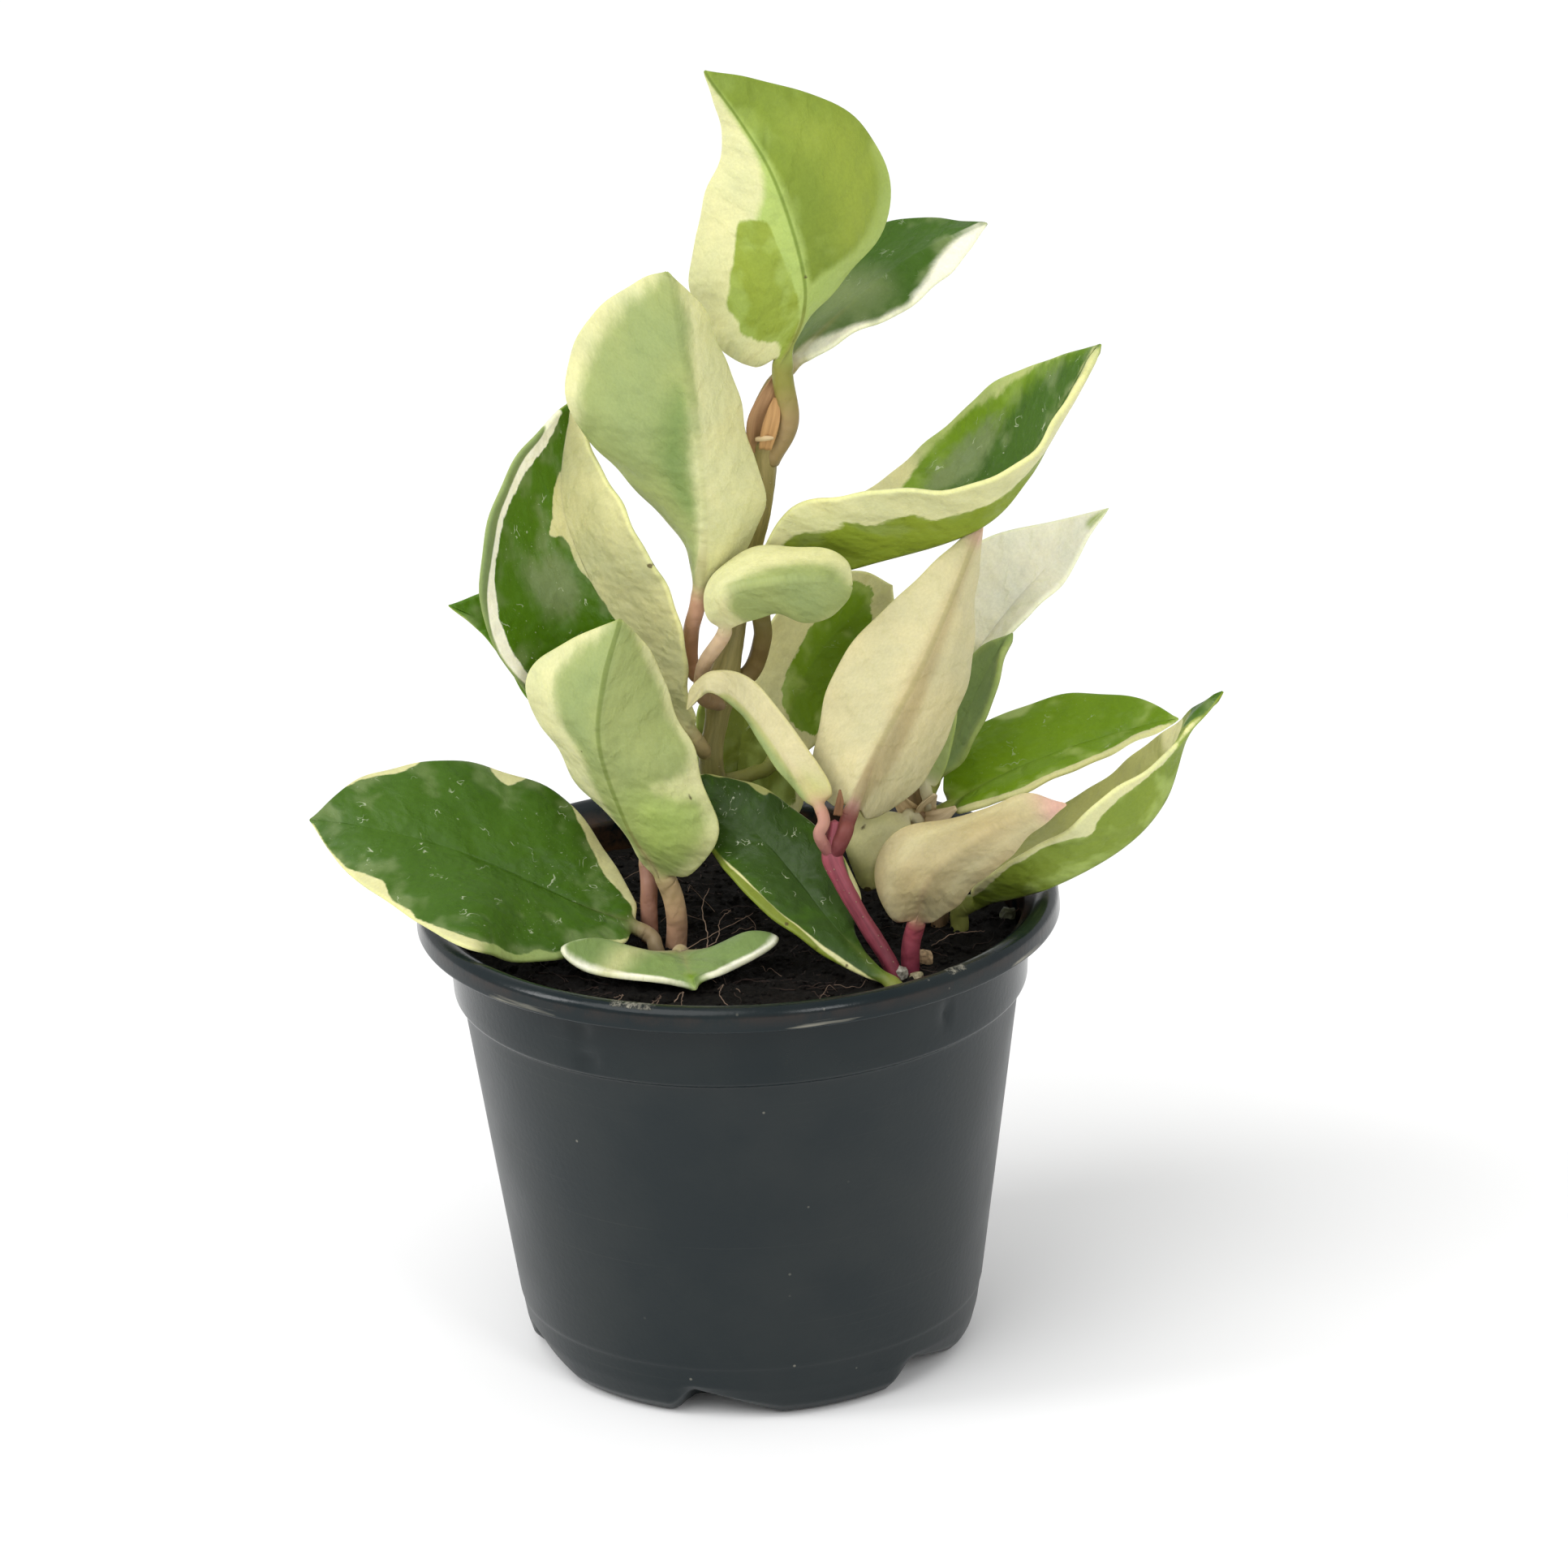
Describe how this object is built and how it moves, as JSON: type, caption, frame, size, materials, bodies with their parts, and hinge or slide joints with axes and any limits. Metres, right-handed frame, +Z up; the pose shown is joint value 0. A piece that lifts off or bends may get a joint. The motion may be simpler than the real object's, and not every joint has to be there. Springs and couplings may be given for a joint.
{
  "type": "potted krimson queen hoya",
  "caption": "Young variegated wax plant with thick cream-edged leaves on short twining stems, standing in soil in a small round tapered nursery pot with a rolled lip.",
  "frame": {"origin": "centre of the pot's flat base, on the surface that the pot stands on", "axes": "+Z up along the pot's axis; -Y faces the side that the picture shows; +X is to the right in that view"},
  "size_m": [0.1469, 0.105, 0.2126],
  "materials": {
    "pot_plastic": "satin",
    "peat": "matte",
    "vine_bark": "satin",
    "vine_young": "satin",
    "leaf_green": "satin",
    "leaf_pale": "satin",
    "leaf_cream": "satin"
  },
  "bodies": {
    "root": {"pot": "pot_plastic", "soil": "peat", "vine_main": "vine_bark", "vine_right": "vine_bark", "vine_shoot": "vine_young", "leaf_top": "leaf_green", "leaf_top_right": "leaf_green", "leaf_upper_left": "leaf_pale", "leaf_left_curled": "leaf_green", "leaf_left_back": "leaf_green", "leaf_front_pale": "leaf_pale", "leaf_low_left": "leaf_green", "leaf_front_small": "leaf_pale", "leaf_centre_dark": "leaf_green", "leaf_behind_vine": "leaf_green", "leaf_shoot_curled": "leaf_cream", "leaf_shoot_cream": "leaf_cream", "leaf_pink_low": "leaf_cream", "leaf_right_folded": "leaf_pale", "leaf_right_dark": "leaf_green", "leaf_back_pale": "leaf_cream", "leaf_back_grey": "leaf_pale", "leaf_cream_strip": "leaf_cream", "leaf_cream_low": "leaf_cream", "leaf_middle_green": "leaf_green", "leaf_pad": "leaf_pale", "leaf_right_long": "leaf_pale"}
  },
  "joints": []
}
